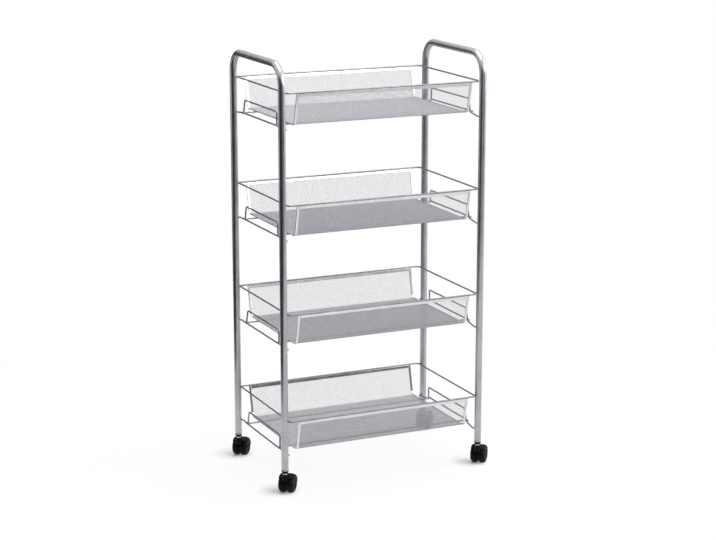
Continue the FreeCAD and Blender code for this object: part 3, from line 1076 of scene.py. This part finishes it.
def white_share(tree):
    """How much of the floor is plain white: less near the casters, and all of it far from the cart."""
    spot = add_node(tree, "ShaderNodeTexCoord").outputs["Object"]
    reach = add_node(tree, "ShaderNodeVectorMath", {0: spot}, operation="LENGTH").outputs["Value"]
    away = add_node(tree, "ShaderNodeMapRange",
                    {"Value": reach, "From Min": white_from / 2, "From Max": white_from})
    nearest = floor_side
    for corner in corners:
        foot = joint_at[f"{corner}_left_wheel_spin"].to_2d().to_3d() + shadow_drift
        gap = add_node(tree, "ShaderNodeVectorMath", {0: spot, 1: foot}, operation="DISTANCE")
        nearest = add_node(tree, "ShaderNodeMath", {0: nearest, 1: gap.outputs["Value"]},
                           operation="MINIMUM").outputs[0]
    close = add_node(tree, "ShaderNodeMapRange",
                     {"Value": nearest, "From Min": shadow_near, "From Max": shadow_far,
                      "To Min": 1 - shadow_share, "To Max": 1 - wide_shadow_share})
    return add_node(tree, "ShaderNodeMath", {0: close.outputs["Result"], 1: away.outputs["Result"]},
                    operation="MAXIMUM").outputs[0]


# %% Lay the floor
def white_floor():
    """White to the camera and in reflections, apart from a share that takes the cart's shadow."""
    material = empty_material("white_studio_floor")
    tree = material.node_tree
    white = white_share(tree)
    share = add_node(tree, "ShaderNodeMath", {0: seen_rays(tree), 1: white}, operation="MULTIPLY")
    paper = add_node(tree, "ShaderNodeBsdfDiffuse", {"Color": linear("#F4F4F4")})
    glow = add_node(tree, "ShaderNodeEmission", {"Color": linear("#FFFFFF"), "Strength": 1.0})
    mixed = add_node(tree, "ShaderNodeMixShader",
                     {0: share.outputs[0], 1: paper.outputs[0], 2: glow.outputs[0]})
    add_node(tree, "ShaderNodeOutputMaterial", {"Surface": mixed.outputs[0]})
    return material


clear_selection()
bpy.ops.mesh.primitive_plane_add(size=floor_side)
floor = bpy.context.object
floor.name = "studio_floor"
floor.data.materials.append(white_floor())
print("floor", floor_side, "m square")

# %% [markdown]
# ## Light
# The cart is lit as for a catalogue, by three soft boxes and a white room: a large one on the right
# throws the shadows, one in front fills the walls, and one above lights the floors of the baskets.
# Small bare lamps would be simpler, but would burn hard spots into the tubes. The world shows white to
# the camera and in reflections, but lights the cart with less than half of that, so that the soft boxes
# still shape it.

# %% Light the white room
sky_fill = 0.45
world = bpy.data.worlds.new("white_studio")
bpy.context.scene.world = world
world.use_nodes = True
world.node_tree.nodes.clear()
sky = world.node_tree
sky_share = add_node(sky, "ShaderNodeMapRange",
                     {"Value": seen_rays(sky), "To Min": sky_fill, "To Max": 1.0})
sky_light = add_node(sky, "ShaderNodeBackground",
                     {"Color": linear("#FFFFFF"), "Strength": sky_share.outputs["Result"]})
add_node(sky, "ShaderNodeOutputWorld", {"Surface": sky_light.outputs[0]})
print("sky lights with", sky_fill, "of its white")


# %% Hang the soft boxes
def soft_box(name, place, aim, width, watts):
    """A square area lamp that faces a point."""
    lamp = bpy.data.lights.new(name, "AREA")
    lamp.shape = "SQUARE"
    lamp.size = width
    lamp.energy = watts
    holder = bpy.data.objects.new(name, lamp)
    holder.location = place
    holder.rotation_euler = (Vector(aim) - Vector(place)).to_track_quat("-Z", "Y").to_euler()
    bpy.context.scene.collection.objects.link(holder)
    print(name, width, "m wide,", watts, "W")


soft_box("key_light", place=(2.9, -1.2, 1.75), aim=(0, 0, 0.5), width=2.4, watts=70)
soft_box("front_light", place=(1.25, -2.75, 1.95), aim=(0, 0, 0.8), width=1.3, watts=16)
soft_box("top_light", place=(0.2, 0.1, 3.0), aim=(0, 0, 0.3), width=2.0, watts=58)

# %% [markdown]
# ## Cards
# Silver looks like what stands around it, and in a white room it would go white. So cards that only
# reflections see are set up as a photographer would. Black ones on the left, upright and on the floor,
# and a dark one behind on the left draw the dark stripes down the tubes. A grey one behind and a grey
# cloth on the floor in front on the right keep the rest of the tubes from going white, and a low black
# one far off behind that cloth darkens the wires. Dark stripes painted on the tubes would stay in place
# when the cart is turned.

# %% Set up the cards
def flag(name, colour, place, aim, width, height):
    """A card that only reflections see."""
    clear_selection()
    facing = (Vector(aim) - Vector(place)).to_track_quat("Z", "Y").to_euler()
    bpy.ops.mesh.primitive_plane_add(size=1, location=place, rotation=facing)
    card = bpy.context.object
    card.name = name
    card.scale = (width, height, 1)
    card.visible_camera = False
    card.visible_diffuse = False
    card.visible_shadow = False
    material = empty_material(name)
    cloth = add_node(material.node_tree, "ShaderNodeBsdfDiffuse", {"Color": linear(colour)})
    add_node(material.node_tree, "ShaderNodeOutputMaterial", {"Surface": cloth.outputs[0]})
    card.data.materials.append(material)
    print(name, colour, width, "by", height, "m")


black_cloth = "#18181B"
flag("left_flag", black_cloth, place=(-0.725, -0.575, 0.6), aim=(0.138, -0.069, 0.6),
     width=1.68, height=1.2)
flag("floor_flag", black_cloth, place=(-1.65, -0.3, 0.002), aim=(-1.65, -0.3, 1), width=2.2, height=2.6)
flag("rear_flag", "#3C3C40", place=(-0.65, 1.25, 0.55), aim=(-0.65, 0, 0.55), width=1.1, height=1.1)
flag("back_flag", "#B4B4B4", place=(0.2, 1.6, 0.8), aim=(0.2, 0, 0.8), width=2.4, height=1.6)
flag("right_cloth", "#868686", place=(1.1, -2.1, 0.002), aim=(1.1, -2.1, 1), width=3.0, height=1.6)
flag("far_flag", black_cloth, place=(1.2, -2.95, 0.5), aim=(0, -0.3, 0.5), width=3.2, height=1.05)

# %% [markdown]
# ## Camera
# The cart is seen from the left of its front and from a little above, through a long lens, so that its
# posts stay nearly parallel. A shifted lens would make them quite parallel, but the same shift would
# push the cart out of the middle of every other view.

# %% Set up the camera
camera_place = Vector((-1.5598, -3.3945, 1.299))
camera_yaw = math.radians(-24.7)
camera_pitch = math.radians(-13.47)
lens_mm = 95.86
sensor_mm = 36
camera = bpy.data.cameras.new("photo_camera")
camera.lens = lens_mm
camera.sensor_width = sensor_mm
holder = bpy.data.objects.new("photo_camera", camera)
holder.location = camera_place
holder.rotation_euler = (math.pi / 2 + camera_pitch, 0, camera_yaw)
bpy.context.scene.collection.objects.link(holder)
bpy.context.scene.camera = holder
bpy.context.scene.view_settings.view_transform = "Standard"
print("camera", round(camera_place.length, 2), "m from the cart, lens", lens_mm, "mm")
